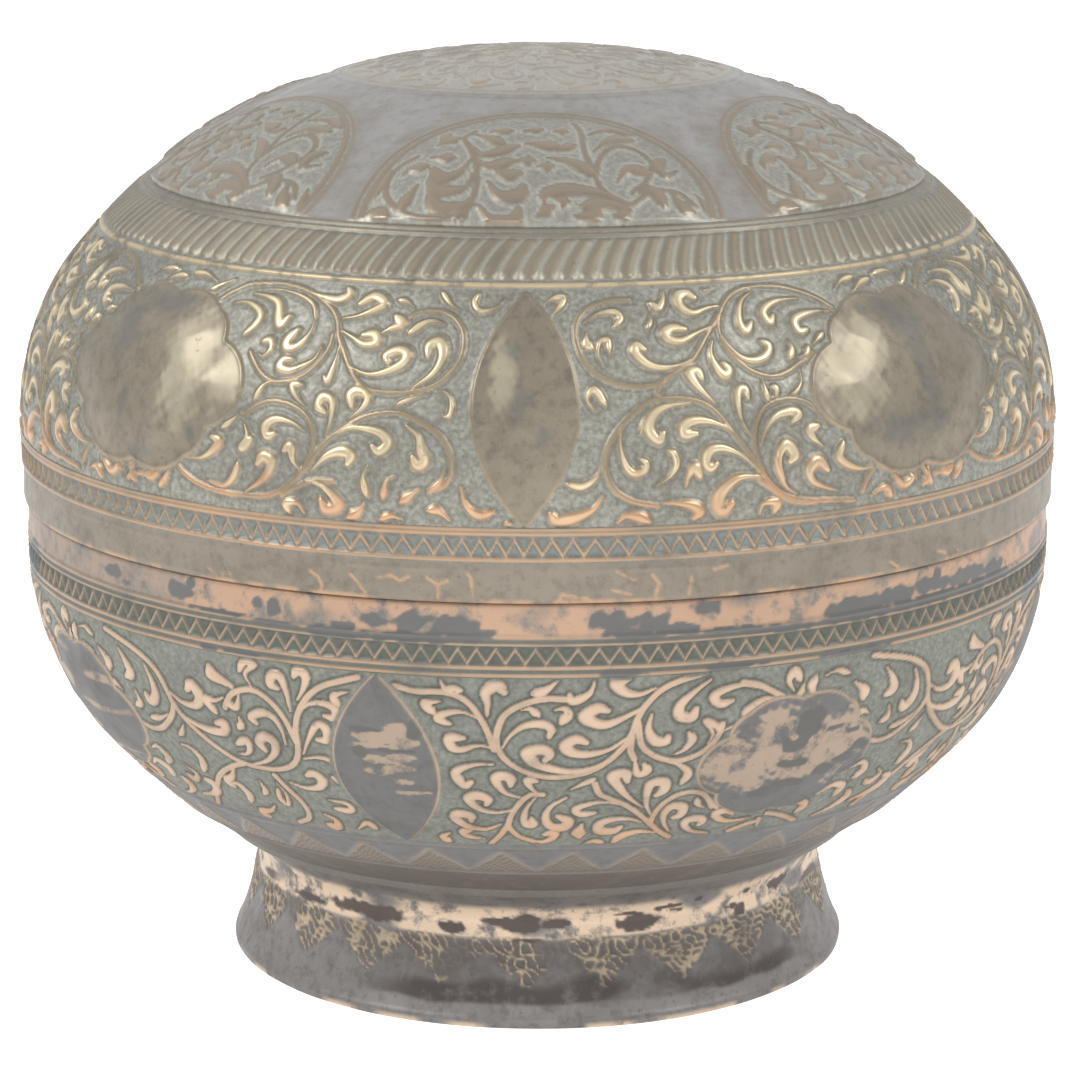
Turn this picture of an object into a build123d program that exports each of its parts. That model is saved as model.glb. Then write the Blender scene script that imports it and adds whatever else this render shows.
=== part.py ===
from build123d import *
from math import cos, radians, sin
import os

os.makedirs("parts", exist_ok=True)

# A footed, lidded box raised from copper sheet.  Millimetres, +Z up, foot on Z = 0, axis of the
# box on Z.  Angles are read round the axis in degrees, from the front (-Y) towards +X.

# Sheet
bowl_sheet = 1.1
lid_sheet = 1.4
collar_sheet = 0.9
foot_sheet = 1.2

# Heights
total_height = 177.1
bowl_rim_height = 91.6
lid_rest_gap = 0.3
lid_edge_height = bowl_rim_height + lid_rest_gap
bowl_underside_height = 12.9

# The collar is the fit that everything at the mouth follows from
collar_radius = 98.4
lid_clearance = 0.45
bowl_radius = collar_radius + bowl_sheet
lid_radius = collar_radius + lid_clearance + lid_sheet
collar_bottom = bowl_rim_height - 7.2
collar_top = bowl_rim_height + 6.3
collar_lead_in = 0.5
collar_butt_gap = 0.4
collar_butt_angle = -46.4

# Where the upright walls next to the seam turn into the round
bowl_wall_bottom = bowl_rim_height - 8.1
lid_wall_top = lid_edge_height + 14.8

# How the shells curve: where each outline passes, as shares of its radius and of its rise
lid_rise = total_height - lid_edge_height
lid_crown = (0.2663, 0.9718)
lid_shoulder = (0.8878, 0.5481)
bowl_rise = bowl_rim_height - bowl_underside_height
bowl_bottom = (0.2362, 0.0152)
bowl_side = (0.8804, 0.46)

# Foot
foot_radius = 60.7
foot_neck_radius = 55.8
foot_neck_height = 18.9
foot_hem = 1.7
foot_hem_height = 1.4
flange_radius = 63.2
flange_sheet = 0.8
solder_reach = 1.6

# Relief that stands off the sheet; its places up a shell are shares of that shell's rise
ridge_height = 0.35
ridge_width = 0.9
panel_height = 0.6
panel_root = 0.4
panels_round = 4
lid_panel_height = 0.384
lid_panel_angle = -1.3
bowl_panel_height = 0.602
bowl_panel_angle = -16.5
lid_lines = (0.0892, 0.1526)
bowl_lines = ((0.9098, 0.0), (0.8463, 0.0), (0.3609, -0.9))

# Crown of the lid
arches_round = 6
arch_foot_angle = 26.5
arch_feet_radius = 74.6
arch_tip_radius = 45.0
medallion_radius = 37.7

# Rope band between the lid's side and its crown
rope_low = 0.6256
rope_high = 0.696
rope_height = 0.7
rope_lean = 14
rope_foot_width = 2.85
rope_top_width = 1.6
rope_lobes = 152


# Outlines of the shells

def on_lid(share):
    """The height at a share of the way from the lid's edge to its top."""
    return lid_edge_height + share * lid_rise


def on_bowl(share):
    """The height at a share of the way from the bowl's underside to its rim."""
    return bowl_underside_height + share * bowl_rise


def arc_chain(points, direction):
    """Arcs through the points, each leaving the last one smoothly."""
    edges = []
    for start, end in zip(points, points[1:]):
        edges.append(TangentArc(start, end, tangent=direction))
        direction = edges[-1] % 1
    return edges


def shifted(edges, distance):
    """A chain of arcs that starts on the axis, moved outwards along its normal."""
    rising = (edges[-1] @ 1).Z > (edges[0] @ 0).Z
    side = distance if rising else -distance
    points = []
    for edge, t in [(edges[0], 0)] + [(edge, 1) for edge in edges]:
        along = edge % t
        point = (edge @ t) + Vector(along.Z, 0, -along.X) * side
        points.append(Vector(point.X, 0, point.Z))
    return arc_chain(points, edges[0] % 0)


# Outer outlines, from the axis to the upright wall
lid_curve = arc_chain(
    [
        (0, 0, total_height - ridge_height),
        (lid_radius * lid_crown[0], 0, on_lid(lid_crown[1])),
        (lid_radius * lid_shoulder[0], 0, on_lid(lid_shoulder[1])),
        (lid_radius, 0, lid_wall_top),
    ],
    (1, 0, 0),
)
bowl_curve = arc_chain(
    [
        (0, 0, bowl_underside_height),
        (bowl_radius * bowl_bottom[0], 0, on_bowl(bowl_bottom[1])),
        (bowl_radius * bowl_side[0], 0, on_bowl(bowl_side[1])),
        (bowl_radius, 0, bowl_wall_bottom),
    ],
    (1, 0, 0),
)


def turned(edges):
    """The solid that a closed outline in the XZ plane makes when it is turned round Z."""
    return revolve(make_face(edges), Axis.Z)


def band(points):
    return turned(Polyline(*[(x, 0, z) for x, z in points], close=True))


def shell(curve, edge_height, outside, inside):
    """The turned sheet between two distances from a curve, its wall ending at a height."""
    outer = shifted(curve, outside)
    inner = shifted(curve, inside)
    outer_wall = outer[-1] @ 1
    inner_wall = inner[-1] @ 1
    outer_edge = (outer_wall.X, 0, edge_height)
    inner_edge = (inner_wall.X, 0, edge_height)
    return turned([
        *outer,
        Line(outer_wall, outer_edge),
        Line(outer_edge, inner_edge),
        Line(inner_edge, inner_wall),
        *inner,
        Line(inner[0] @ 0, outer[0] @ 0),
    ])


def radius_at(curve, height):
    """How far out a shell's outside is at a height."""
    for edge in curve:
        low, high = sorted([(edge @ 0).Z, (edge @ 1).Z])
        if low <= height <= high:
            centre = edge.arc_center
            return centre.X + (edge.radius**2 - (height - centre.Z) ** 2) ** 0.5
    return max((edge @ t).X for edge in curve for t in (0, 1))


def height_at(curve, radius):
    """How high a shell's outside is at a radius within its middle arc."""
    arc = curve[1]
    centre = arc.arc_center
    reach = (arc.radius**2 - (radius - centre.X) ** 2) ** 0.5
    return centre.Z + (reach if (arc @ 0).Z > centre.Z else -reach)


# Relief

def ridge(radius, height, slope=0.0):
    """A raised line round a shell; slope is how far the surface leans in for each step up."""
    half = ridge_width / 2
    lean = half * slope
    return band([
        (radius + lean - panel_root, height - half),
        (radius + lean, height - half),
        (radius + ridge_height, height),
        (radius - lean, height + half),
        (radius - lean - panel_root, height + half),
    ])


def crown_ring(radius):
    """A raised line round the middle of the lid's crown."""
    half = ridge_width / 2
    near, middle, far = [height_at(lid_curve, radius + step) for step in (-half, 0, half)]
    return band([
        (radius - half, near - panel_root),
        (radius - half, near),
        (radius, middle + ridge_height),
        (radius + half, far),
        (radius + half, far - panel_root),
    ])


def placed(shape, angle):
    """A shape drawn facing the front, moved to its place round the axis."""
    return Rot(Z=angle) * shape


def outward(outline, height):
    """An outline drawn flat, stood up facing the front and run out through the wall."""
    plane = Plane(origin=(0, -40, height), x_dir=(1, 0, 0), z_dir=(0, -1, 0))
    return extrude(plane * outline, amount=80)


def mandorla(width, height):
    """A pointed oval."""
    half = height / 2
    return make_face([
        ThreePointArc((0, -half), (width / 2, 0), (0, half)),
        ThreePointArc((0, half), (-width / 2, 0), (0, -half)),
    ])


def cartouche(width, height):
    """A lobed panel: a point at each side, five lobes above and five below."""
    corners = [(0.5, 0.0), (0.34, 0.30), (0.13, 0.42), (-0.13, 0.42), (-0.34, 0.30), (-0.5, 0.0)]
    bulge = 0.10
    edges = []
    for flip in (1, -1):
        for (ax, ay), (bx, by) in zip(corners, corners[1:]):
            middle = ((ax + bx) / 2, (ay + by) / 2 + bulge)
            points = [(ax, ay), middle, (bx, by)][::flip]
            edges.append(ThreePointArc(*[(x * width, flip * y * height) for x, y in points]))
    return make_face(edges)


def arch(feet_radius, tip_radius):
    """An arch seen from above, its feet on the rope band and its tip near the medallion."""
    side = radians(arch_foot_angle)
    x = feet_radius * sin(side)
    y = -feet_radius * cos(side)
    shoulder_x = x * 0.88
    shoulder_y = -tip_radius - 11
    face = make_face([
        ThreePointArc((x, y), (shoulder_x, shoulder_y), (0, -tip_radius)),
        ThreePointArc((0, -tip_radius), (-shoulder_x, shoulder_y), (-x, y)),
        ThreePointArc((-x, y), (0, -feet_radius), (x, y)),
    ])
    return extrude(face, amount=total_height + 5)


def panels(layer, oval, lobed, first_angle):
    """Plain ovals and lobed panels by turns round a shell, cut from the layer just outside it."""
    step = 360 / panels_round
    found = []
    for i in range(panels_round):
        found.append(layer & placed(oval, first_angle + step * i))
        found.append(layer & placed(lobed, first_angle + step * (i + 0.5)))
    return found


def raised(sheet, relief):
    """The relief joined to its sheet one form at a time."""
    for form in relief:
        sheet = sheet + form
    return sheet


def rope_band():
    """Leaning lobes side by side round the shoulder of the lid."""
    low, high = [
        Vector(radius_at(lid_curve, height), 0, height)
        for height in (on_lid(rope_low), on_lid(rope_high))
    ]
    up = (high - low).normalized()
    out = Vector(up.Z, 0, -up.X)
    length = (high - low).length
    middle = (low + high) * 0.5
    shoulder = Plane(origin=(0, -middle.X, middle.Z), x_dir=(1, 0, 0), z_dir=(0, -out.X, out.Z))
    foot = rope_foot_width / 2
    top = rope_top_width / 2
    section = Polyline(
        (-foot, -panel_root), (foot, -panel_root), (top, rope_height), (-top, rope_height), close=True
    )
    lobe = extrude(Plane.XZ * make_face(section), amount=length / 2, both=True)
    lobe = shoulder * (Rot(Z=rope_lean) * lobe)
    return [placed(lobe, 360 / rope_lobes * i) for i in range(rope_lobes)]


# Lid

def make_lid():
    layer = shell(lid_curve, lid_edge_height, panel_height, -panel_root)
    oval = outward(mandorla(17.6, 37.6), on_lid(lid_panel_height))
    lobed = outward(cartouche(46, 30), on_lid(lid_panel_height))
    relief = panels(layer, oval, lobed, lid_panel_angle)
    crown_arch = arch(arch_feet_radius, arch_tip_radius)
    for i in range(arches_round):
        relief.append(layer & placed(crown_arch, 360 / arches_round * i))
    for line in lid_lines:
        relief.append(ridge(lid_radius, on_lid(line)))
    relief.append(crown_ring(medallion_radius))
    return raised(shell(lid_curve, lid_edge_height, 0, -lid_sheet) + rope_band(), relief)


# Bowl

def make_bowl():
    layer = shell(bowl_curve, bowl_rim_height, panel_height, -panel_root)
    oval = outward(mandorla(17.6, 33.6), on_bowl(bowl_panel_height))
    lobed = outward(cartouche(35, 25), on_bowl(bowl_panel_height - 0.011))
    relief = panels(layer, oval, lobed, bowl_panel_angle)
    for line, slope in bowl_lines:
        relief.append(ridge(radius_at(bowl_curve, on_bowl(line)), on_bowl(line), slope))
    return raised(shell(bowl_curve, bowl_rim_height, 0, -bowl_sheet), relief)


# Collar: a strip bent round inside the bowl's mouth, its ends meeting in a butt joint

def make_collar():
    inside = collar_radius - collar_sheet
    ring = band([
        (inside, collar_bottom),
        (collar_radius, collar_bottom),
        (collar_radius, collar_top - collar_lead_in),
        (collar_radius - collar_lead_in, collar_top),
        (inside, collar_top),
    ])
    butt = Box(collar_butt_gap, 3 * collar_sheet, 2 * (collar_top - collar_bottom))
    butt = Pos(0, -collar_radius, collar_top) * butt
    return ring - placed(butt, collar_butt_angle)


# Foot: a flared ring, its top turned out into a flange that hugs the bowl, its edge hemmed

def make_foot():
    flange_top = height_at(bowl_curve, flange_radius)
    throat_radius = foot_neck_radius - foot_sheet
    throat_top = height_at(bowl_curve, throat_radius)
    hem_radius = foot_radius - foot_hem
    middle_radius = (flange_radius + throat_radius) / 2
    return turned([
        Line((flange_radius, 0, flange_top), (flange_radius, 0, flange_top - flange_sheet)),
        ThreePointArc(
            (flange_radius, 0, flange_top - flange_sheet),
            (57.6, 0, 22.9),
            (foot_neck_radius, 0, foot_neck_height),
        ),
        ThreePointArc(
            (foot_neck_radius, 0, foot_neck_height),
            (57.6, 0, 9.9),
            (foot_radius, 0, foot_hem_height),
        ),
        Line((foot_radius, 0, foot_hem_height), (foot_radius, 0, 0)),
        Line((foot_radius, 0, 0), (hem_radius, 0, 0)),
        Line((hem_radius, 0, 0), (hem_radius, 0, foot_hem_height)),
        ThreePointArc(
            (hem_radius, 0, foot_hem_height),
            (57.6 - foot_sheet, 0, 9.9),
            (throat_radius, 0, foot_neck_height),
        ),
        Line((throat_radius, 0, foot_neck_height), (throat_radius, 0, throat_top)),
        ThreePointArc(
            (throat_radius, 0, throat_top),
            (middle_radius, 0, height_at(bowl_curve, middle_radius)),
            (flange_radius, 0, flange_top),
        ),
    ])


# Solder: a fillet at the flange's edge under the bowl, and one under the collar in the mouth

def make_foot_solder():
    outside = flange_radius + solder_reach
    inner, middle, outer = [
        (radius, 0, height_at(bowl_curve, radius))
        for radius in (flange_radius, flange_radius + solder_reach / 2, outside)
    ]
    lip = (flange_radius, 0, inner[2] - flange_sheet)
    return turned([ThreePointArc(inner, middle, outer), Line(outer, lip), Line(lip, inner)])


def make_collar_solder():
    return band([
        (collar_radius - collar_sheet, collar_bottom),
        (collar_radius, collar_bottom),
        (collar_radius, bowl_wall_bottom),
    ])


pieces = {
    "lid_shell": make_lid,
    "bowl_shell": make_bowl,
    "bowl_collar": make_collar,
    "foot_ring": make_foot,
    "foot_solder_seam": make_foot_solder,
    "collar_solder_seam": make_collar_solder,
}
for name, make in pieces.items():
    export_step(make(), f"parts/{name}.step")
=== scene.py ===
import math

import bmesh
import bpy
import numpy as np
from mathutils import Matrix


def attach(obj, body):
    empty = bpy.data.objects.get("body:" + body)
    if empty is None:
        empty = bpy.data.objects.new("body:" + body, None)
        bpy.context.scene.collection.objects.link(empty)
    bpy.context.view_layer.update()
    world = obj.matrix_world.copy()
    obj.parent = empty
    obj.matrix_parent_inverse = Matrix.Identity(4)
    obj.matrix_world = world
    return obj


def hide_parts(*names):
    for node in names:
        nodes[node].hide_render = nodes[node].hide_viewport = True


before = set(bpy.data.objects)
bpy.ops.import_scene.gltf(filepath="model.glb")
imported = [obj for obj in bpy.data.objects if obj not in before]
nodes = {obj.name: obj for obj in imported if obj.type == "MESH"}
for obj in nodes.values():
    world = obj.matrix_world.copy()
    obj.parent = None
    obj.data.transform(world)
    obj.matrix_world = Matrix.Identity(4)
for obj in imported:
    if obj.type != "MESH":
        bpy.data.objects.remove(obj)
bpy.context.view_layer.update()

# A footed, lidded copper box, tinned and worn, pressed and chased all over.  The shapes below are
# worked out in millimetres; angles are degrees round the box from the front (-Y) towards +X.
MM = 0.001

# Outlines of the turned sheets


class Outline:
    """A turned outline of arcs that run smoothly into one another, but for a crease where a new
    heading is given, and then go on straight, or as the tail says.  A place on it is told by
    the length of sheet from its start."""

    def __init__(self, points, heading, side, crease=None, tail=None):
        self.arcs = []
        self.side = side
        heading = np.array(heading, float)
        for i, (start, end) in enumerate(zip(points, points[1:])):
            if crease and i == 1:
                heading = np.array(crease, float)
            start, end = np.array(start, float), np.array(end, float)
            across = np.array([-heading[1], heading[0]])
            chord = end - start
            radius = chord @ chord / (2 * (chord @ across))
            centre = start + across * radius
            first = math.atan2(*(start - centre)[::-1])
            turn = math.remainder(math.atan2(*(end - centre)[::-1]) - first, math.tau)
            last = first + turn
            self.arcs.append((centre, abs(radius), first, turn))
            heading = np.array([-math.sin(last), math.cos(last)]) * np.sign(radius)
        self.end, self.heading = end, heading if tail is None else np.array(tail, float)
        self.length = sum(radius * abs(turn) for _, radius, _, turn in self.arcs)

    def places(self, along):
        """Radius, height and the outward direction at lengths along the sheet."""
        along = np.asarray(along, float)
        r = self.end[0] + self.heading[0] * (along - self.length)
        z = self.end[1] + self.heading[1] * (along - self.length)
        out_r = np.full_like(r, -self.heading[1] * self.side)
        out_z = np.full_like(r, self.heading[0] * self.side)
        done = 0.0
        for centre, radius, first, turn in self.arcs:
            share = (along - done) / (radius * abs(turn))
            here = (share <= 1) & ((share >= 0) | (done == 0))
            here &= along <= self.length
            angle = first + turn * share
            way = np.sign(turn)
            r = np.where(here, centre[0] + radius * np.cos(angle), r)
            z = np.where(here, centre[1] + radius * np.sin(angle), z)
            out_r = np.where(here, -np.cos(angle) * way * self.side, out_r)
            out_z = np.where(here, -np.sin(angle) * way * self.side, out_z)
            done += radius * abs(turn)
        return r, z, out_r, out_z

    def length_to(self, radius=None, height=None):
        """The length of sheet up to a radius or a height."""
        along = np.linspace(0, self.length + 30, 6000)
        r, z, _, _ = self.places(along)
        miss = np.abs(r - radius) if height is None else np.abs(z - height)
        return along[np.argmin(miss)]


lid = Outline([(0, 176.75), (26.7, 174.7), (89, 138.6), (100.25, 106.7)], (1, 0), 1)
bowl = Outline([(0, 12.9), (23.5, 14.1), (87.6, 49.1), (99.5, 83.5)], (1, 0), -1)
foot = Outline(
    [(63.2, 26.7), (55.8, 18.9), (60.7, 1.4)], (-0.966, -0.257), 1, crease=(0.1204, -0.9927),
    tail=(0, -1))

LID_PANELS, BOWL_PANELS = -1.3, -16.5  # where the first oval of each stands
LID_REACH, BOWL_REACH = 95.0, 93.0  # the radius at which the scroll drawings are true to size
DRAWN = 20.0  # the drawings are made twenty times full size
LINE_CUTS = 5  # how many straight steps a drawn line takes between two of its points
BACK_STEP = 4.0  # how far apart the rows of a sheet's hidden face stand

# The camera of the photograph, found from the box's outline in it.
PICTURE = 1080  # points across and down
EYE_AWAY, EYE_HIGH = 753.53, 256.22  # millimetres from the box's axis and above the floor
LOOKING_DOWN = 0.23  # radians
LENS, SENSOR = 130.55, 36
SHIFT = 0.0023  # how far the picture's middle is moved, as a share of its width

lid_edge = lid.length_to(height=91.9)
lid_scroll_low = lid.length_to(height=105.3)
lid_scroll_high = lid.length_to(height=143.8)
crown_edge = lid_scroll_high - 13.9
medallion_edge = lid.length_to(radius=37.6)
bowl_edge = bowl.length_to(height=91.6)
bowl_scroll_low = bowl.length_to(height=42.8)
bowl_scroll_high = bowl.length_to(height=78.3)
flange_line = bowl.length_to(radius=63.4)
foot_edge = foot.length + 1.4

# Chased drawings
# A line that starts with s is a stem; any other starts with a leaf's half width.  Its points
# follow, across from the middle of the oval and down from the top of the band.  A line that
# starts with a space goes on with the one above.

LID_RIGHT = """
s 800,700 740,605 690,530 640,465 580,430 500,418 430,425 370,460 320,510 285,560 265,620 268,680
 300,735 360,770 430,785
s 1150,828 1040,815 960,805 880,780 820,725 790,660 778,590 795,520 840,465 920,445 990,460
 1035,500 1055,550
s 1225,130 1180,90 1120,55 1050,30 960,15 880,20 810,45 760,90 730,140 718,190 730,240 760,290
 800,330 850,355 900,362 950,350 1000,325 1040,310 1070,290
s 755,100 700,160 660,205 620,255 575,300 520,330 480,352 450,398
s 480,364 380,372 300,352 240,312 205,260 185,200 185,140 210,90 260,60 330,42 395,42
s 790,720 900,800 1000,818
s 1305,685 1250,715 1210,760 1190,800
s 1305,685 1370,705 1430,745 1440,790
s 700,20 745,0
14 220,125 270,95 330,88 355,115 330,148
12 275,292 262,250 270,205 300,200 302,245
20 225,170 222,205 240,225
18 588,282 540,302 480,308 430,292 392,248 400,222 428,240
11 470,95 465,130 448,162
17 535,0 528,45 503,82 475,62
22 742,86 690,95 632,110 590,82 590,40 622,28 655,50
21 690,165 625,190 562,215 520,205 508,182 540,165 588,172
20 685,215 665,270 680,322 704,348 722,330 708,306
20 652,446 620,412 590,372 575,335 602,328 616,354
17 765,560 740,510 735,450 746,405 770,400 776,432
13 845,368 846,405 850,445
12 846,440 880,432 890,405 872,398
9 998,345 990,390 965,420 940,432
17 905,36 850,70 820,120 812,165 830,192 860,160
18 1090,80 1010,82 950,100 920,130 936,166 958,140
19 1208,146 1140,140 1070,150 1036,172 1042,208 1074,205
17 726,205 745,245 782,288 832,302 882,286 902,252 878,234
17 986,236 988,270 970,302
13 1008,302 1040,292 1058,266
12 1078,262 1110,240 1138,222
20 562,440 500,442 450,456 420,490 414,530 440,562 458,538
8 440,452 402,480 382,542
20 706,546 640,512 580,500 536,512 528,545 572,546
14 325,508 316,570 325,630 350,670 386,665 396,640 378,624
14 428,715 470,690 495,650 490,612 474,600
18 772,672 720,625 660,600 615,606 598,640 612,666 638,652
18 528,722 535,690 560,660 576,694
24 790,706 720,704 670,730 640,770 652,812 688,792
17 450,776 500,780 550,790 574,812 556,834
18 300,838 330,815 372,820 402,838
20 252,748 222,790 170,815 108,828 88,806
14 256,640 235,682 190,712 142,704
16 788,838 802,802 850,802 842,834
18 803,596 828,542 870,502 930,490 956,502 928,526
20 1032,622 1000,592 990,560 1022,548
22 880,722 864,670 868,630 896,604 922,640 904,664
20 1080,784 1030,766 985,740 974,700 1010,670 1044,708
12 930,782 885,750 865,700 850,648
10 1102,562 1078,528
16 1252,716 1190,720 1130,700 1094,665 1116,618
16 1312,702 1330,750 1370,800 1412,794 1420,768
14 1478,748 1500,790 1480,820
15 240,455 215,415 240,375 275,430
12 60,60 100,30 150,20
13 90,110 130,60 150,30
12 1280,60 1330,30 1400,20
12 1350,90 1420,50 1480,40
14 1230,822 1290,800 1320,838
"""

LID_LEFT = """
s 1290,140 1230,80 1160,35 1090,22 1000,16 900,30 820,60 750,102 710,152 690,212 660,262 620,330
 570,384 500,400 420,396 340,378 280,340 235,280 220,220 230,160 270,112 330,90 400,98 430,115
s 715,205 716,252 738,302 780,352 840,384 910,392 962,370 1002,334 1032,300
s 745,690 700,612 650,560 600,520 540,485 480,470 420,470 370,490 310,522 270,560 245,612 240,670
 262,715 310,738
s 1300,690 1250,742 1180,780 1080,800 980,800 880,790 810,750 760,700 735,650 722,590 735,530
 770,490 830,464 900,460 960,485 1004,522
s 640,722 700,722 760,742 830,784
s 1300,690 1340,740 1400,780 1460,790
22 390,378 322,322 295,262 310,214 346,225 350,262
20 622,320 560,340 500,330 440,296 425,262 460,250 500,272 490,296
20 682,190 640,210 590,235 545,226 555,196 600,202
23 532,190 500,170 465,150 490,122
14 300,140 350,130 392,150 432,186
20 692,140 640,130 580,100 545,70 590,45 642,80
20 862,42 790,60 730,65 692,42 706,18
12 75,30 110,70 170,85 195,50 180,15
12 250,82 290,60 330,12
12 430,80 460,60 496,55
13 680,240 680,300 696,372 714,358
20 602,500 560,460 545,420 580,400 606,416 598,452
18 680,562 665,500 670,440 705,430 716,462 690,482
14 760,470 800,440 826,400 788,394
12 900,396 940,410 966,462
10 312,386 270,390 250,430 255,470 274,476
9 330,400 380,410 442,440
22 1115,70 1040,78 985,100 960,150 940,186 914,150
18 1192,120 1130,110 1070,130 1040,160 1050,200 1082,240
9 1090,46 1000,42 900,60 830,95 800,152
22 800,160 805,210 840,260 880,270 886,240 858,200
18 745,250 760,300 800,330 850,350 892,340 880,314 848,310
16 1000,302 970,310 945,280 960,250 992,256
22 722,690 670,635 620,615 585,626 592,656
20 642,560 590,530 530,530 480,545 460,575 486,606 512,588
20 402,510 360,545 345,600 330,630 350,650 372,620
12 425,690 456,710 466,766
14 520,660 536,700 520,762
16 340,730 370,750 402,776
9 262,650 275,700 310,735
20 742,725 690,735 650,760 620,800 660,816 682,788
18 528,790 550,820 582,842
16 745,838 770,805 812,810 800,838
15 206,720 190,775 150,810 100,800
15 240,832 280,800 312,800
10 12,835 60,840
12 400,835 440,825 472,840
18 760,550 810,525 870,520 906,546 896,582 868,570
20 992,548 975,590 990,632 958,598
18 760,692 790,660 805,610 828,628
22 972,786 920,750 885,710 875,670 906,655 926,682
13 1010,510 1040,540 1082,572
16 1222,696 1160,690 1115,660 1090,620 1122,608
14 1132,770 1060,775 1020,740 1004,690
13 1290,722 1310,772 1346,822
13 1330,742 1380,792 1422,788
14 1478,740 1498,786 1478,820
12 1330,40 1400,20 1470,24
12 1240,20 1300,60 1340,90
"""

BOWL_RIGHT = """
s 60,42 130,58 200,55 260,62 310,95 345,150 370,212 386,280
s 1090,4 1000,30 940,60 892,112 865,165 850,222 820,282 770,340 710,380 640,398 570,400 500,380
 440,340 405,290 395,240 405,180 430,130 490,90 560,72 630,76
s 868,180 885,268 922,312 972,340 1030,348 1090,326 1130,292 1156,246 1164,205
s 850,236 850,292 866,330
s 556,488 520,486 488,512 460,560 440,610 430,662 442,702 472,742 526,772
s 432,650 402,722 350,800
s 738,436 760,490 802,520 862,560 922,622 972,682 1022,742 1074,786
s 970,684 975,620 1000,560 1040,520 1090,506 1142,520 1178,560 1204,604
s 1432,150 1380,118 1330,88 1282,62 1228,50
s 1436,148 1450,110 1484,66 1540,30
s 1461,745 1400,760 1340,790
20 212,92 180,98 160,104 190,138
16 332,150 290,130 240,135 202,160 242,180
18 215,8 232,40 282,46
24 368,140 370,92 366,50 402,22 426,48
20 380,270 330,265 280,285 246,280 240,240 286,236
20 380,345 320,350 266,375 250,402 276,450 302,434
22 482,506 420,480 390,430 395,400 436,405 440,442
22 442,576 380,590 320,570 286,520 320,500 356,520 350,546
22 402,660 340,695 270,680 226,636 240,606 286,615 286,646
18 332,760 270,750 246,720 282,704
20 192,730 160,760 182,792
16 546,490 510,450 500,415 532,420
17 414,272 440,220 490,176 550,170 576,190 570,222
24 782,330 720,362 650,375 580,360 520,330 500,290 546,275 572,296 558,322
15 480,115 510,110 536,136
20 590,115 620,110 632,130 612,166
22 832,240 780,282 710,300 650,290 626,260 660,235 696,250
24 892,115 830,152 760,180 710,165 690,140 730,115 762,126
22 922,50 870,70 820,60 790,20 832,8
18 602,5 560,40 520,52
18 722,10 700,60 650,82 638,60
22 912,150 905,210 930,256 966,262 976,244
16 1004,322 1040,300 1062,260 1048,234
22 1112,30 1060,70 1010,120 1010,160 1050,172 1066,140
18 1292,76 1230,60 1170,70 1126,95 1150,126 1192,116
14 1120,282 1132,240 1104,190 1140,210 1158,236
14 1168,236 1200,220 1242,214 1214,252
18 1402,150 1340,122 1290,130 1250,165 1262,196 1292,184
19 1422,102 1400,60 1420,28 1442,62
18 866,318 872,352 886,400 916,386 904,358
22 922,572 860,510 820,450 800,405 840,394 852,432
22 962,622 935,560 930,490 940,450 982,445 990,482 964,512
17 980,350 1030,370 1066,410 1048,456
12 650,466 690,440 736,414
18 532,500 500,560 490,620 500,660 526,660 518,620
24 642,505 590,550 570,610 590,670 640,680 656,640 618,610
16 852,556 780,535 720,545 680,570 700,600 752,594
24 932,666 880,640 820,640 776,665 780,710 830,716 856,694
28 708,662 700,710 702,744
18 500,760 560,775 600,750 606,714 568,726
20 1002,742 930,730 870,755 844,792
22 1062,742 1030,690 1015,630 1036,580 1080,590 1086,632 1058,652
15 1172,602 1140,580 1128,548
12 1200,570 1232,618
22 1242,782 1170,760 1126,720 1120,680 1160,670 1192,690 1184,716
20 1402,712 1320,716 1260,690 1236,650 1280,640 1312,666
14 720,802 760,780 802,797
15 1442,726 1480,740 1462,772
"""

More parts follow.
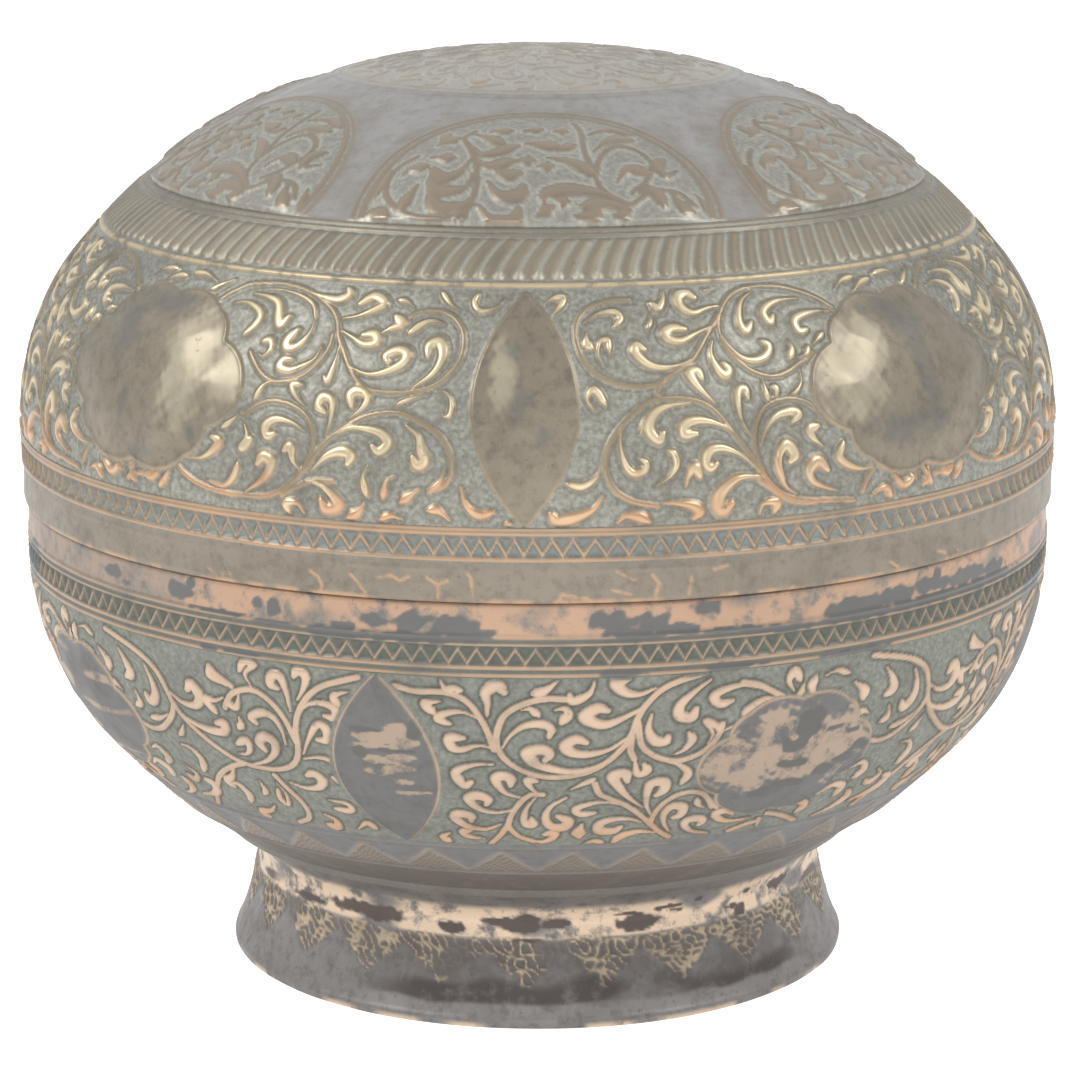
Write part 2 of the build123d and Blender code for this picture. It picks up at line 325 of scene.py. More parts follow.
BOWL_LEFT = """
s 60,20 120,40 180,62 230,95 270,142 300,200 316,262 320,320 336,382 372,430 430,460 500,472
 580,468 640,450 700,412 760,362 810,310 850,250 870,190 900,130 950,90 1020,60 1100,38 1180,20
s 325,312 345,240 370,190 410,146 460,120 512,126 560,150 590,190 602,212
s 556,118 610,86 642,58
s 852,248 880,300 930,350 982,386 1040,400 1096,392
s 600,470 650,490 720,530 780,580 830,640 880,700 942,784
s 470,500 440,560 410,620 400,680 420,742 482,784
s 1461,700 1400,720 1320,760 1260,800
20 290,132 265,90 250,40 276,14 296,42
20 324,182 330,110 350,50 380,50 390,82 364,96
16 470,106 490,60 450,20 490,18 512,52
16 558,122 600,110 642,90 640,58
16 98,80 130,90 152,105 134,136
17 292,190 250,145 190,135 150,155 155,190 192,184
18 306,362 270,290 226,225 195,240 200,285 236,290
17 312,386 250,370 205,380 186,420 190,480 216,460
20 412,525 350,540 290,525 266,485 290,455 322,470
16 272,590 200,600 196,640 262,640
18 372,332 372,280 395,222 440,205 492,230 478,256
22 552,462 480,430 430,380 420,330 455,310 486,340 468,376
18 602,420 560,410 540,380 546,345 592,370
17 530,150 550,200 586,190
17 550,240 546,270 562,292
18 600,170 640,190 682,190 650,242
24 852,200 800,230 740,230 710,190 736,145 762,170
22 842,270 780,310 700,330 640,320 626,285 662,290
22 966,110 940,170 940,230 976,266 996,240
14 900,302 950,330 1012,346
22 1112,80 1080,120 1060,170 1092,192
22 1252,110 1202,150 1202,186
20 1372,120 1312,150 1330,190
16 1060,240 1050,290 1082,310
16 1150,262 1190,240 1210,262
18 902,440 850,450 825,500 852,562
12 835,330 860,370 882,392
12 480,540 460,600 480,670 502,640 488,580
14 560,550 555,600 572,632
18 752,610 690,600 665,650 682,702
16 202,760 150,710 118,740
22 1002,742 930,722 870,690 850,640 880,620
20 662,505 700,560 740,590 720,620
18 560,700 600,740 660,760 640,790
20 330,690 290,720 300,770 340,760
20 1132,520 1080,500 1050,540 1080,580
20 1242,640 1180,600 1120,620 1130,670
18 1402,690 1330,660 1270,690 1290,730
18 1172,790 1100,760 1040,700 1060,660
16 960,560 920,600 960,640 990,620
12 1380,60 1330,50 1280,70
18 1400,150 1430,100 1420,60
"""


def drawing(text):
    """The strokes of a drawing: the half width of a leaf, or nothing for a stem, and its points."""
    found = []
    for line in text.replace("\n ", " ").split("\n"):
        if line:
            first, *points = line.split(" ")
            width = 0.0 if first == "s" else float(first)
            found.append((width, [tuple(map(float, p.split(","))) for p in points]))
    return found


def smooth_line(points):
    """A line that runs smoothly through the drawn points."""
    p = np.array(points, float)
    p = np.vstack([2 * p[0] - p[1], p, 2 * p[-1] - p[-2]])
    t = np.linspace(0, 1, LINE_CUTS, endpoint=False)[:, None]
    parts = []
    for a, b, c, d in zip(p, p[1:], p[2:], p[3:]):
        bend = (2 * a - 5 * b + 4 * c - d) * t**2 + (3 * b - a - 3 * c + d) * t**3
        parts.append(0.5 * (2 * b + (c - a) * t + bend))
    parts.append(p[-2:-1])
    return np.vstack(parts)


def nearest(line, x, y):
    """How far points are from a line, and how far along it, from 0 to 1."""
    steps = np.hypot(*np.diff(line, axis=0).T)
    starts = np.concatenate([[0], np.cumsum(steps)])
    best = np.full(x.shape, 1e9)
    along = np.zeros(x.shape)
    for (ax, ay), (bx, by), size, start in zip(line, line[1:], steps, starts):
        dx, dy = (bx - ax) / size, (by - ay) / size
        t = np.clip((x - ax) * dx + (y - ay) * dy, 0, size)
        far = np.hypot(x - ax - dx * t, y - ay - dy * t)
        closer = far < best
        best = np.where(closer, far, best)
        along = np.where(closer, (start + t) / starts[-1], along)
    return best, along


LEAF_ALONG = (0.0, 0.25, 0.5, 0.72, 0.9, 1.0)
LEAF_WIDTH = (0.22, 0.42, 0.74, 1.0, 0.86, 0.5)
STEM_WIDTH = 13.0
MOAT = 7.0


def chased(x, y, strokes, slope=0.7, full=1.3):
    """How high strokes stand over points, 0 to 1, and how deep the tool's line round them is.
    A stroke's flanks take up the share of its half width that slope gives, and its leaves are
    as much wider than drawn as full tells."""
    high = np.zeros(x.shape)
    line_round = np.zeros(x.shape)
    for width, points in strokes:
        line = smooth_line(points)
        reach = max(full * width, STEM_WIDTH) + 3 * MOAT
        low, top = line.min(0) - reach, line.max(0) + reach
        near = np.nonzero((x > low[0]) & (x < top[0]) & (y > low[1]) & (y < top[1]))[0]
        if not near.size:
            continue
        far, along = nearest(line, x[near], y[near])
        if width:
            radius = full * width * np.interp(along, LEAF_ALONG, LEAF_WIDTH)
            form = eased(1 - far / radius, -0.06, slope)
            form *= 0.5 + 0.5 * np.clip(radius / 18, 0, 1)
        else:
            radius = np.full(far.shape, STEM_WIDTH) * np.clip(1.25 - along * 0.25, 0, 1)
            form = eased(1 - far / radius, -0.06, slope)
            form *= 0.8 - 0.35 * np.exp(-((far / 4.0) ** 2))
        edge = np.exp(-(((far - radius - 2) / MOAT) ** 2)) * (far > radius)
        high[near] = np.maximum(high[near], form)
        line_round[near] = np.maximum(line_round[near], edge)
    return high, line_round * (high < 0.02)


def lobed_outline(half_width, half_height):
    """The outline of a lobed panel about its middle, a point at each side."""
    corners = [(-1, 0), (-0.72, 0.53), (-0.55, 0.9), (0, 1.04), (0.55, 0.9), (0.72, 0.53), (1, 0)]
    points = []
    for flip in (1, -1):
        ring = [(x * half_width * flip, y * half_height * flip) for x, y in corners]
        for a, b in zip(ring, ring[1:]):
            a, b = np.array(a), np.array(b)
            bulge = np.array([a[1] - b[1], b[0] - a[0]]) * 0.16
            for t in np.linspace(0, 1, 8, endpoint=False):
                points.append(a + (b - a) * t + bulge * 4 * t * (1 - t))
    return np.array(points + points[:1])


def inside(outline, x, y):
    """Whether points lie inside a closed outline."""
    crossings = np.zeros(x.shape, int)
    for (ax, ay), (bx, by) in zip(outline, outline[1:]):
        spans = (ay > y) != (by > y)
        at = ax + (y - ay) / (by - ay if by != ay else 1e-9) * (bx - ax)
        crossings += spans & (x < at)
    return crossings % 2 == 1


def eased(value, low, high):
    """0 below low, 1 above high and a smooth step between."""
    t = np.clip((value - low) / (high - low), 0, 1)
    return t * t * (3 - 2 * t)


def wavering(x, y, size, seed):
    """A slow irregular wave between about -1 and 1, for the unevenness of handwork."""
    draw = np.random.default_rng(seed)
    total = np.zeros(np.broadcast(x, y).shape)
    for _ in range(5):
        way, phase = draw.uniform(0, math.tau, 2)
        pace = math.tau / size / draw.uniform(0.7, 1.8)
        total = total + np.sin((x * math.cos(way) + y * math.sin(way)) * pace + phase)
    return total / 3


def blots(x, y, spots, seed, soft=0.12):
    """Patches with ragged edges; each spot has its middle and its half width and half height."""
    ragged = 0.22 * wavering(x, y, 5.0, seed) + 0.2 * wavering(x, y, 1.9, seed + 1)
    found = np.zeros(x.shape)
    for mid_x, mid_y, half_x, half_y in spots:
        far = np.hypot((x - mid_x) / half_x, (y - mid_y) / half_y) + ragged
        found = np.maximum(found, 1 - eased(far, 1 - soft, 1 + soft))
    return found


def scratched(x, y, lines, half):
    """Thin lines drawn over points, 0 to 1."""
    found = np.zeros(x.shape)
    for _, points in lines:
        far, _ = nearest(np.array(points), x, y)
        found = np.maximum(found, 1 - eased(far, 0.4 * half, half))
    return found


def grain(shape, height, seed):
    """The fine unevenness of a worked surface."""
    return height * np.random.default_rng(seed).normal(size=shape)


def ring_line(y, at, half, height):
    """A raised line across the band at a distance from its edge."""
    return height * np.clip(1 - ((y - at) / half) ** 2, 0, 1) ** 0.7


# How each band is pressed
# Each takes angles from the start of its piece and lengths along the sheet, and gives the height
# in millimetres and the shares that its finish reads: relief (a form that stands up),
# groove (a tool's line, coloured darker as painted shade, or lighter as a painted
# highlight), panel (a plain face), bare and copper (tin worn off), slate (stains), dirt
# (stains, and painted shade in hollows and under the bowl) and pale (rubbed tin, and
# painted highlights and sheen).


LID_DARK = (
    (-77, 8, 6, 2.5), (-84, 14, 4, 6), (-79.5, 27.5, 1.2, 3), (-62.8, 30.2, 0.9, 1.6),
    (-75, 35.2, 3, 1.2), (71, 8, 5, 2), (74, 12, 3.5, 3), (74.2, 17, 2.2, 4), (74.5, 23, 1.8, 4),
    (75, 29.5, 2, 3), (66, 30, 6, 2.5), (-3, 21, 1.6, 2.6), (1, 27, 1.2, 1.4), (-4.5, 12, 2, 1.4),
)
# Pale patches; those on the lobed panels are painted highlights.
LID_PALE_HIGHLIGHTS = (
    (-66, 15, 5, 6), (-66.5, 22, 4.2, 7), (-57.5, 20, 3.6, 5), (57.5, 19, 5.5, 8), (63, 14, 3, 5),
    (-6, 16, 2.2, 6),
)
BOWL_COPPER = (
    (-26, 12.3, 4.5, 1.6), (-23.5, 10.2, 3, 0.8), (-27, 14.2, 5, 0.7), (-22, 13, 3, 1),
    (-27, 17, 4, 1), (-24, 16.2, 3, 0.6), (-28, 19.8, 2.6, 0.8), (-24.5, 18.8, 3, 0.8),
    (-23.5, 22, 2, 0.6), (-22.5, 24.6, 3.5, 0.5), (36, 19, 7.5, 6), (44, 16, 8, 7), (54, 18, 9, 7),
)
BOWL_SLATE = (
    (-31, 15.8, 1.6, 1.2), (-29.5, 10.8, 2.5, 0.5), (-24, 14.9, 4, 0.4), (-20.5, 10.5, 1.6, 2),
    (47.5, 12.5, 2.8, 2.4), (46, 15.8, 2.4, 1.6), (49, 10.5, 2.2, 1.4), (46.7, 20, 3.2, 0.9),
    (42.5, 26.5, 3, 1.8), (46.5, 25, 3.5, 1.4), (54, 23, 3, 1.4), (58, 21.3, 3, 1.3),
    (61, 19, 2, 1.3), (54, 13.8, 2.2, 0.5), (58.5, 15.3, 1.6, 0.5),
)


def lid_wear(around, down, panel):
    """Dark stains on the plain panels of the lid, rubbed tin behind, and pale patches in front that
    are painted highlights on the lobed panels.
    """
    behind = eased(np.abs(around), 100, 110)
    stain = behind * eased(wavering(around, down, 12, 64), 0.3, 0.7)
    rubbed = behind * eased(wavering(around, down, 15, 66), 0.2, 0.8)
    return {
        "slate": 0.55 * panel * np.maximum(blots(around, down, LID_DARK, 63, 0.6), stain),
        "pale": 0.55 * panel * np.maximum(blots(around, down, LID_PALE_HIGHLIGHTS, 65, 0.45), rubbed),
    }


def bowl_wear(around, down, panel):
    """Copper worn bare in streaks through the slate grey of the bowl's plain panels."""
    behind = eased(np.abs(around), 80, 90)
    streaks = behind * eased(wavering(around * 0.35, down * 1.6, 6, 74), 0.35, 0.6)
    dark = blots(around, down, BOWL_SLATE, 73)
    bare = np.maximum(blots(around, down, BOWL_COPPER, 75), streaks) * (1 - dark)
    return {"slate": panel * dark, "bare": 0.75 * panel * bare}


def scroll_band(reach, top, way, right, left, boss, oval, depth, slope, full, first, wear, seed):
    """Scrolls of stems and leaves between a pointed oval and the lobed panels beside it."""
    right, left = drawing(right), drawing(left)
    outline = lobed_outline(*boss[:2])

    def press(angle, along):
        across = np.radians(angle) * reach
        down = (along - top) * way
        around = np.radians(np.mod(first + angle + 180, 360) - 180) * reach
        wave_x = 0.25 * wavering(around, down, 34, seed)
        wave_y = 0.25 * wavering(around, down, 34, seed + 1)
        high = np.zeros(across.shape)
        moat = np.zeros(across.shape)
        for strokes, side in ((right, 1), (left, -1)):
            here = np.nonzero(across * side >= 0)[0]
            x = (across[here] * side + wave_x[here]) * DRAWN
            y = (down[here] + wave_y[here]) * DRAWN
            high[here], moat[here] = chased(x, y, strokes, slope, full)
        # the pointed oval
        mid, half_high, half_wide = oval
        lens = np.abs(across) - half_wide * (1 - ((down - mid) / half_high) ** 2)
        in_oval = eased(-lens, -0.15, 0.35)
        rim_oval = np.exp(-(((lens + 0.1) / 0.42) ** 2))
        # the lobed panels half way round to the next oval
        quarter = math.radians(45) * reach
        bx = quarter - np.abs(across)
        by = down - boss[2]
        far, _ = nearest(outline, bx, by)
        lens_boss = np.where(inside(outline, bx, by), -far, far)
        in_boss = eased(-lens_boss, -0.15, 0.35)
        rim_boss = np.exp(-(((lens_boss + 0.1) / 0.42) ** 2))
        panel = np.maximum(in_oval, in_boss)
        near_panel = np.minimum(eased(lens, 0.8, 1.6), eased(lens_boss, 0.2, 0.9))
        high = high * near_panel
        moat = moat * near_panel
        edge = np.minimum(eased(down, 0.15, 0.8), eased(mid + half_high - down, 0.0, 0.7))
        high = high * edge
        bulge = in_oval * (0.35 + 0.35 * eased(-lens, 0, half_wide))
        bulge = np.maximum(bulge, in_boss * (0.35 + boss[3] * eased(-lens_boss, 0, 9.0)))
        rim = np.maximum(rim_oval, rim_boss)
        height = depth * high - 0.1 * moat * (1 - panel) + bulge + 0.2 * rim
        height = height + 0.03 * wavering(around, down, 11, seed + 2) * panel
        height = height + grain(high.shape, 0.012, seed) * (1 - panel) * (1 - high)
        uneven = 0.12 * wavering(around, down, 9, seed + 3)
        low_down = eased(down / (2 * half_high) + uneven, 0.7, 1.0)
        # The tool's line round the strokes carries painted shade, or a painted highlight where the
        # finish colours it light.
        shares = {
            "relief": np.maximum(high, 0.6 * rim * (1 - 0.5 * panel)) * edge,
            "panel": panel,
            "groove": 0.7 * moat * (1 - panel),
            "copper": low_down,
        }
        shares.update(wear(around, down, panel))
        return height * edge, shares

    return press


def rope_band(angle, along):
    """Leaning lobes parted by tool lines, each line standing on a small punched tent."""
    up = lid_scroll_high - along
    lobes = 152
    share = np.clip((up - 2.3) / 8.4, 0, 1)
    lean = (3.0 + 0.8 * np.cos(np.radians(4 * angle + 10))) * share**1.6
    around = np.radians(angle) * 80.0 + 0.25 * wavering(angle, 0, 40, 5)
    pitch = math.tau * 80.0 / lobes
    place = np.mod((around - lean) / pitch, 1.0)
    off = np.minimum(place, 1 - place) * pitch
    body = eased(up, 2.0, 2.6) * eased(11.4 - up, 0.0, 1.0)
    lobe = np.clip(off / (pitch / 2), 0, 1) ** 0.8
    tent_up = (up - 2.2) / 1.9
    tent = eased(1.15 * (1 - tent_up) - off, 0.0, 0.35) * (tent_up > 0) * (tent_up < 1)
    height = body * (0.1 + 0.42 * lobe) - 0.25 * tent
    # The tool's lines between the lobes are coloured light as a painted highlight.
    groove = 0.8 * body * (1 - eased(off, 0.0, 0.6))
    lines = ring_line(up, 1.0, 0.65, 0.55) + ring_line(up, 11.9, 0.5, 0.4)
    lines = lines + ring_line(up, 13.2, 0.45, 0.3)
    height = np.where(lines > 0, np.maximum(height * (lines <= 0.02), lines), height)
    cream = ring_line(up, 1.0, 0.65, 0.8)
    return height, {"relief": np.clip(np.maximum(0.8 * lobe * body, lines / 0.5), 0, 1),
                    "groove": np.clip(groove + tent, 0, 1), "bare": cream}


def zigzag(around, up, low, high, pitch, seed):
    """Punched triangles, point up and point down by turns, with a raised zigzag between them."""
    share = (up - low) / (high - low)
    wander = 0.22 * pitch * wavering(around, 0, 23, seed)
    place = np.mod((around + wander) / pitch, 1.0)
    ridge_at = np.abs(2 * place - 1)
    off = np.abs(share - (0.08 + 0.84 * ridge_at))
    in_band = (share > 0) & (share < 1)
    ridge = np.clip(1 - off / 0.17, 0, 1) ** 0.8 * in_band
    pit = eased(off, 0.14, 0.34) * in_band * eased(np.minimum(share, 1 - share), 0.0, 0.07)
    return ridge, pit


RIM_SCRATCHES = """
0 -41,4.2 -39,3 -38.3,1.6 -38.6,0.4
0 -33,4 -31.5,2.6 -30.3,1
0 -28,3.6 -26,4.2
0 -25.4,4.2 -23.8,3.4 -22.4,4.2
0 -19,4.2 -17.2,3 -17.2,0.8
0 -17.2,3 -15.6,3.8
0 -12,5.2 -11.4,4.4 -11.2,1.4
0 3.6,0.4 4.2,1.6 8.8,0.8
0 13.6,5.6 16.8,3.8
0 13,2.2 16,1.4
0 19.8,4.7 21,3.2 20.4,1
0 26.8,3.8 26.4,1
0 31,4.9 33.4,5.5
0 67.4,2.2 69.4,1
0 80,2.2 82.4,1.4
0 85,2.2 86,1.2
0 -62,2 -60,1 -57,1.6
"""


def lid_rim(angle, along):
    """The upright wall of the lid: a zigzag over a plain rim with fine scratches."""
    up = lid_edge - along
    around = np.radians(angle) * 100.0
    ridge, pit = zigzag(around, up, 8.3, 11.6, 3.4, 11)
    low_line = ring_line(up, 7.7, 0.45, 0.34)
    step_line = ring_line(up, 5.9, 0.3, 0.12) * eased(wavering(around, 0, 60, 12), -0.6, 0.4)
    top_line = ring_line(up, 12.3, 0.4, 0.4) + ring_line(up, 13.1, 0.35, 0.3)
    height = 0.34 * ridge - 0.36 * pit + low_line + top_line + step_line
    scratch = scratched(around, up, drawing(RIM_SCRATCHES), 0.42)
    height = height + 0.05 * wavering(around, up * 2, 16, 13) - 0.08 * scratch
    height = height - 0.35 * eased(0.55 - up, 0, 0.55)
    relief = np.clip(ridge * 0.8 + (low_line + top_line) / 0.5, 0, 1)
    copper = eased(wavering(around, up * 3, 14, 14), -0.2, 0.6) * eased(up, 7.4, 8.0)
    edge_copper = eased(1.0 - up, 0, 0.7) * eased(wavering(around, 0, 8, 15), -0.5, 0.3)
    return height, {"relief": relief, "groove": pit, "panel": eased(7.2 - up, 0, 0.5),
                    "bare": np.maximum(0.7 * scratch, 0.8 * edge_copper), "copper": copper}


RIM_TARNISH = (
    (-88, 10.7, 3.5, 1.2), (-84, 9.2, 1.5, 0.5), (-69, 10.2, 3, 1.6), (-66.5, 12, 1.5, 1),
    (-51.5, 10.5, 1.2, 1), (-48, 10, 1.6, 1.6), (-60, 7.8, 8, 0.4), (-48, 7.2, 6, 0.5),
    (-36, 6.9, 7, 1), (-22, 7, 8, 1.1), (-12, 7.2, 4, 0.8), (-34, 8, 3, 1), (-29, 9.6, 2.4, 1.2),
    (-22.5, 9.3, 3, 2), (-14, 9.5, 4.5, 2), (-13, 8.3, 5.5, 1.1), (11, 10.5, 2, 1.6),
    (14, 10, 2.5, 2), (20, 9.4, 4, 2), (24, 8.2, 5, 1.2), (17, 7.7, 5, 1.2), (30, 11.8, 2.8, 1.3),
    (33, 7.4, 6, 0.6), (41, 7, 5, 0.6), (46, 6.7, 4, 0.7), (56, 8.5, 4, 1.3), (62, 9, 6, 1.6),
    (70, 9.3, 6, 1.7), (78, 9.6, 5, 1.4), (80.5, 11.5, 1.2, 1.4), (90, 9.5, 8, 1.6),
    (99, 9, 5, 1.4), (60, 7, 9, 1), (78, 7.2, 12, 1), (98, 7.2, 12, 1), (-55, 1, 5, 0.5),
    (-62, 0.8, 2, 0.6), (15, 0.8, 4, 1), (35, 0.9, 6, 0.8), (60, 0.5, 8, 0.6),
)


def bowl_rim(angle, along):
    """The mouth of the bowl: a plain rim, worn to the copper, over fine lines and a zigzag."""
    up = along - bowl_scroll_high
    around = np.radians(angle) * 99.5
    ridge, pit = zigzag(around, up, 2.5, 5.6, 3.4, 21)
    lines = ring_line(up, 7.4, 0.35, 0.3) + ring_line(up, 6.1, 0.35, 0.3)
    lines = lines + ring_line(up, 2.0, 0.4, 0.34) + ring_line(up, 0.6, 0.45, 0.3)
    height = 0.3 * ridge - 0.32 * pit + lines
    height = height + 0.05 * wavering(around, up * 2, 18, 22)
    height = height - 0.3 * eased(up - (bowl_edge - bowl_scroll_high) + 0.5, 0, 0.5)
    relief = np.clip(ridge * 0.8 + lines / 0.4, 0, 1)
    slate = blots(around, up, RIM_TARNISH, 23)
    behind = eased(np.abs(angle), 62, 68)
    cloud = wavering(around, up * 2.5, 17, 24) - up / 20
    slate = np.maximum(slate, behind * eased(cloud, -0.1, 0.1))
    worn = eased(wavering(around, up * 2, 24, 25), -1.2, -0.4)
    worn = worn * np.where(around < -68, 0.35, 1.0)
    plain = eased(up, 7.4, 7.8)
    return height, {"relief": relief, "groove": pit, "panel": plain, "slate": slate * (1 - pit),
                    "bare": worn * plain * 0.9}


def bowl_base(angle, along):
    """Hatched triangles round the foot of the bowl, then its plain underside, darkened below the
    lower line with painted shade.
    """
    up = along - flange_line
    top = bowl_scroll_low - flange_line
    around = np.radians(angle) * 79.0
    pitch = math.tau * 79.0 / 38
    place = np.mod((around + 0.5 * wavering(around, 0, 50, 31)) / pitch, 1.0)
    share = (up - (top - 10.6)) / 8.2
    flank = 1 - np.abs(2 * place - 1) - share
    triangle = eased(flank, 0.0, 0.06) * (share > 0) * (share < 1)
    border = np.exp(-((flank / 0.07) ** 2)) * (share > -0.05) * (share < 1)
    hatch = 0.5 + 0.5 * np.sin(around * 4.4 + np.sin(up)) * np.sin(up * 4.1 + np.sin(around * 2.1))
    lines = ring_line(up, top - 1.2, 0.45, 0.34) + ring_line(up, top - 11.6, 0.5, 0.4)
    height = triangle * (0.06 + 0.2 * hatch) + 0.25 * border + lines
    return height, {"relief": np.clip(triangle * (0.35 + 0.5 * hatch) + border + lines * 2, 0, 1),
                    "panel": (1 - triangle) * eased(up, top - 11.8, top - 11.2),
                    # Painted shade on the underside below the lower line.
                    "dirt": 0.75 * eased(top - 12.2 - up, 0, 1.5),
                    "groove": 0.8 * triangle * (1 - hatch) * (1 - border)}


FOOT_TARNISH = (
    (-52, 18.1, 5, 0.7), (-35, 19.2, 9, 1.6), (-17, 18.4, 2.5, 1), (-7, 20.1, 3.5, 1),
    (-2.5, 19.5, 3.5, 2.2), (3.5, 19.9, 3, 1.1), (18, 21.1, 3, 0.5), (20, 19.2, 5, 1.6),
    (26.5, 21.6, 3.5, 0.6), (28, 20.7, 1.5, 0.5), (33, 22.1, 0.8, 0.6), (-2, 16.5, 3.5, 0.4),
    (42, 18.7, 2, 0.5), (44, 17.7, 1.5, 1.2), (46, 21, 1.2, 0.5), (56, 20.4, 4, 1.2),
)


def foot_band(angle, along):
    """Leafy pendants hanging down the foot from a worn plain neck, over a plain hem."""
    up = foot_edge - along
    around = np.radians(angle) * 58.0
    pitch = math.tau * 58.0 / 23
    place = np.mod((around + 2.8) / pitch + 0.04 * wavering(around, 0, 40, 41) + 0.5, 1.0)
    off = np.abs(place - 0.5) * 2
    tip = 7.4 + 0.6 * wavering(around, 0, 30, 42)
    share = (up - tip) / (14.2 - tip)
    inside_it = np.where(share < 1, eased(share * 0.95 - off, -0.14, 0.1), 1.0)
    pendant = inside_it * (share > 0) * eased(16.9 + 0.6 * wavering(around, 0, 9, 43) - up, 0, 0.7)
    curls = wavering(around, up, 2.3, 44) + 0.6 * wavering(around, up, 1.4, 45)
    faded = eased(wavering(around, up, 12, 52), -1.0, -0.1)
    faded = np.maximum(faded, eased(9.5 - up, 0, 1.5))
    worm = np.exp(-((curls / 0.3) ** 2)) * pendant * (0.25 + 0.75 * faded)
    wave = 4.1 + 0.5 * wavering(around, 0, 11, 46)
    height = 0.34 * worm - 0.14 * pendant + ring_line(up, 1.0, 1.0, 0.12)
    height = height + 0.07 * wavering(around, up, 13, 47)
    neck = eased(up, 16.4, 17.2) * (1 - eased(up, 22.5, 24.5))
    worn = neck * eased(wavering(around, up * 2, 18, 48), -1.1, -0.3)
    cloud = wavering(around, up * 2, 15, 53)
    dark = eased(up, wave, wave + 1.0) * eased(11.0 + 1.6 * cloud - up, 0, 4.5)
    dark = dark * eased(cloud + wavering(around, up * 3, 40, 54), -1.8, -0.4)
    dark = np.maximum(dark, 0.4 * eased(up, wave, wave + 1.0) * eased(17 - up, 0, 2))
    dark = dark * np.where(around < 0, eased(around, -42, -22), eased(-around, -66, -50))
    slate = blots(around, up, FOOT_TARNISH, 49)
    behind = eased(np.abs(angle), 62, 68)
    slate = np.maximum(slate, behind * neck * eased(wavering(around, up * 3, 16, 50), 0.2, 0.4))
    hem = eased(1.2 - up, 0, 0.9) * eased(wavering(around, 0, 12, 51), -0.2, 0.4)
    return height, {"relief": worm, "groove": pendant * (1 - worm) * 0.3, "panel": 1 - pendant,
                    "bare": np.maximum(worn, 0.8 * hem), "dirt": dark * (1 - 0.5 * worm),
                    "slate": slate}


# The scrolls of the arch in front, drawn over the photograph enlarged from its point CROWN_CORNER.
# A leaf's half width is in millimetres.
CROWN_CORNER = (300, 30)
CROWN_ENLARGED = 3.409
CROWN_STANDS = 0.65  # how far the pressed face stands out from the sheet there
CROWN = """
s 560,655 598,560 602,480 582,415 562,372 600,348
s 590,600 520,640 450,648 350,628 292,570 298,505 340,462 400,432
s 1130,602 1080,590 1020,540 1000,480 970,420 948,350 925,318
s 1010,490 1030,435 1085,402 1160,420 1202,462 1185,520 1130,560
s 1130,600 1200,560 1290,560 1350,600
1.3 590,440 640,470 730,452
1.3 588,402 625,432 742,402
1.2 600,360 690,392
1.4 770,392 880,404
1.2 470,395 540,372
1.2 448,440 522,442
1.3 586,440 545,490 480,512 452,482
1.3 592,490 560,545 472,556 440,522
1.4 596,560 560,600 470,612 440,570
1.3 400,532 372,570 340,612
1.2 345,500 370,480 430,470
1.2 480,388 510,356
1.3 205,645 245,618 292,640
1.2 210,600 250,560 300,480
1.3 980,360 1060,338 1132,352
1.2 1000,420 1060,380 1130,375
1.3 1080,522 1120,482 1190,492
1.1 1290,478 1250,502 1222,470 1242,442
1.3 1160,560 1205,552 1242,602
1.3 1268,560 1302,602 1340,622
1.2 1350,560 1390,600 1420,630
1.4 1120,600 1020,562 920,550 840,562 828,582
1.4 1125,622 1050,600 960,608
1.3 868,584 905,596
1.5 640,520 680,570 742,570 762,540
1.3 650,470 700,500 752,495
1.3 740,452 800,452
1.3 815,470 862,472
1.3 850,440 940,462 1004,500
1.4 608,600 652,650 722,660 742,620
1.3 530,655 545,620
1.3 800,642 852,612
1.4 930,640 985,640 1010,618
1.3 1060,640 1110,632
1.2 880,420 930,400
1.1 760,350 820,345
1.1 860,350 900,352
1.2 650,350 720,350
"""

MEDALLION = """
s 0,0 1,8 3,14 8,17 12,14 10,10
s 3,14 2,21 5,27 11,28 13,24 10,22
s 0,0 -1,8 -1,18 -2,30
1.3 2,8 5,9 7,7 6,4
1.3 -1,16 1,20 4,21 5,18
1.3 9,12 8,9 10,8
1.3 11,25 8,25 8,22
1.3 -1,26 1,30 4,32 6,30
1.2 13,20 14,16 17,14
1.3 12,31 8,33 4,35
1.3 14,29 17,27 19,29 17,32
1.2 0,11 2,12 3,11
1.3 15,24 17,22 18,24
"""


def enlarged(strokes):
    """Strokes in millimetres, brought to the size of the other drawings."""
    return [(w * DRAWN, [(x * DRAWN, y * DRAWN) for x, y in p]) for w, p in strokes]


def on_lid(x, y):
    """Where a point of the photograph falls on the lid, seen from above: how far to the right of
    the axis and how far in front of it.  The line of sight is followed to the pressed face."""
    right = ((x - PICTURE / 2) / PICTURE + SHIFT) * SENSOR / LENS
    up = (PICTURE / 2 - y) / PICTURE * SENSOR / LENS
    ahead = math.cos(LOOKING_DOWN) + up * math.sin(LOOKING_DOWN)
    drop = math.sin(LOOKING_DOWN) - up * math.cos(LOOKING_DOWN)
    r, z, out_r, out_z = lid.places(np.linspace(0, lid.length, 6000))
    reach = (EYE_HIGH - z - CROWN_STANDS * out_z) / drop
    across, front = right * reach, EYE_AWAY - ahead * reach
    met = np.argmax(np.hypot(across, front) < r + CROWN_STANDS * out_r)
    share = r[met] / (r[met] + CROWN_STANDS * out_r[met])
    return across[met] * share, front[met] * share


def crown_strokes():
    """The drawing of the crown, carried from the photograph on to the lid."""
    left, top = CROWN_CORNER
    return enlarged([
        (w, [on_lid(left + x / CROWN_ENLARGED, top + y / CROWN_ENLARGED) for x, y in p])
        for w, p in drawing(CROWN)])


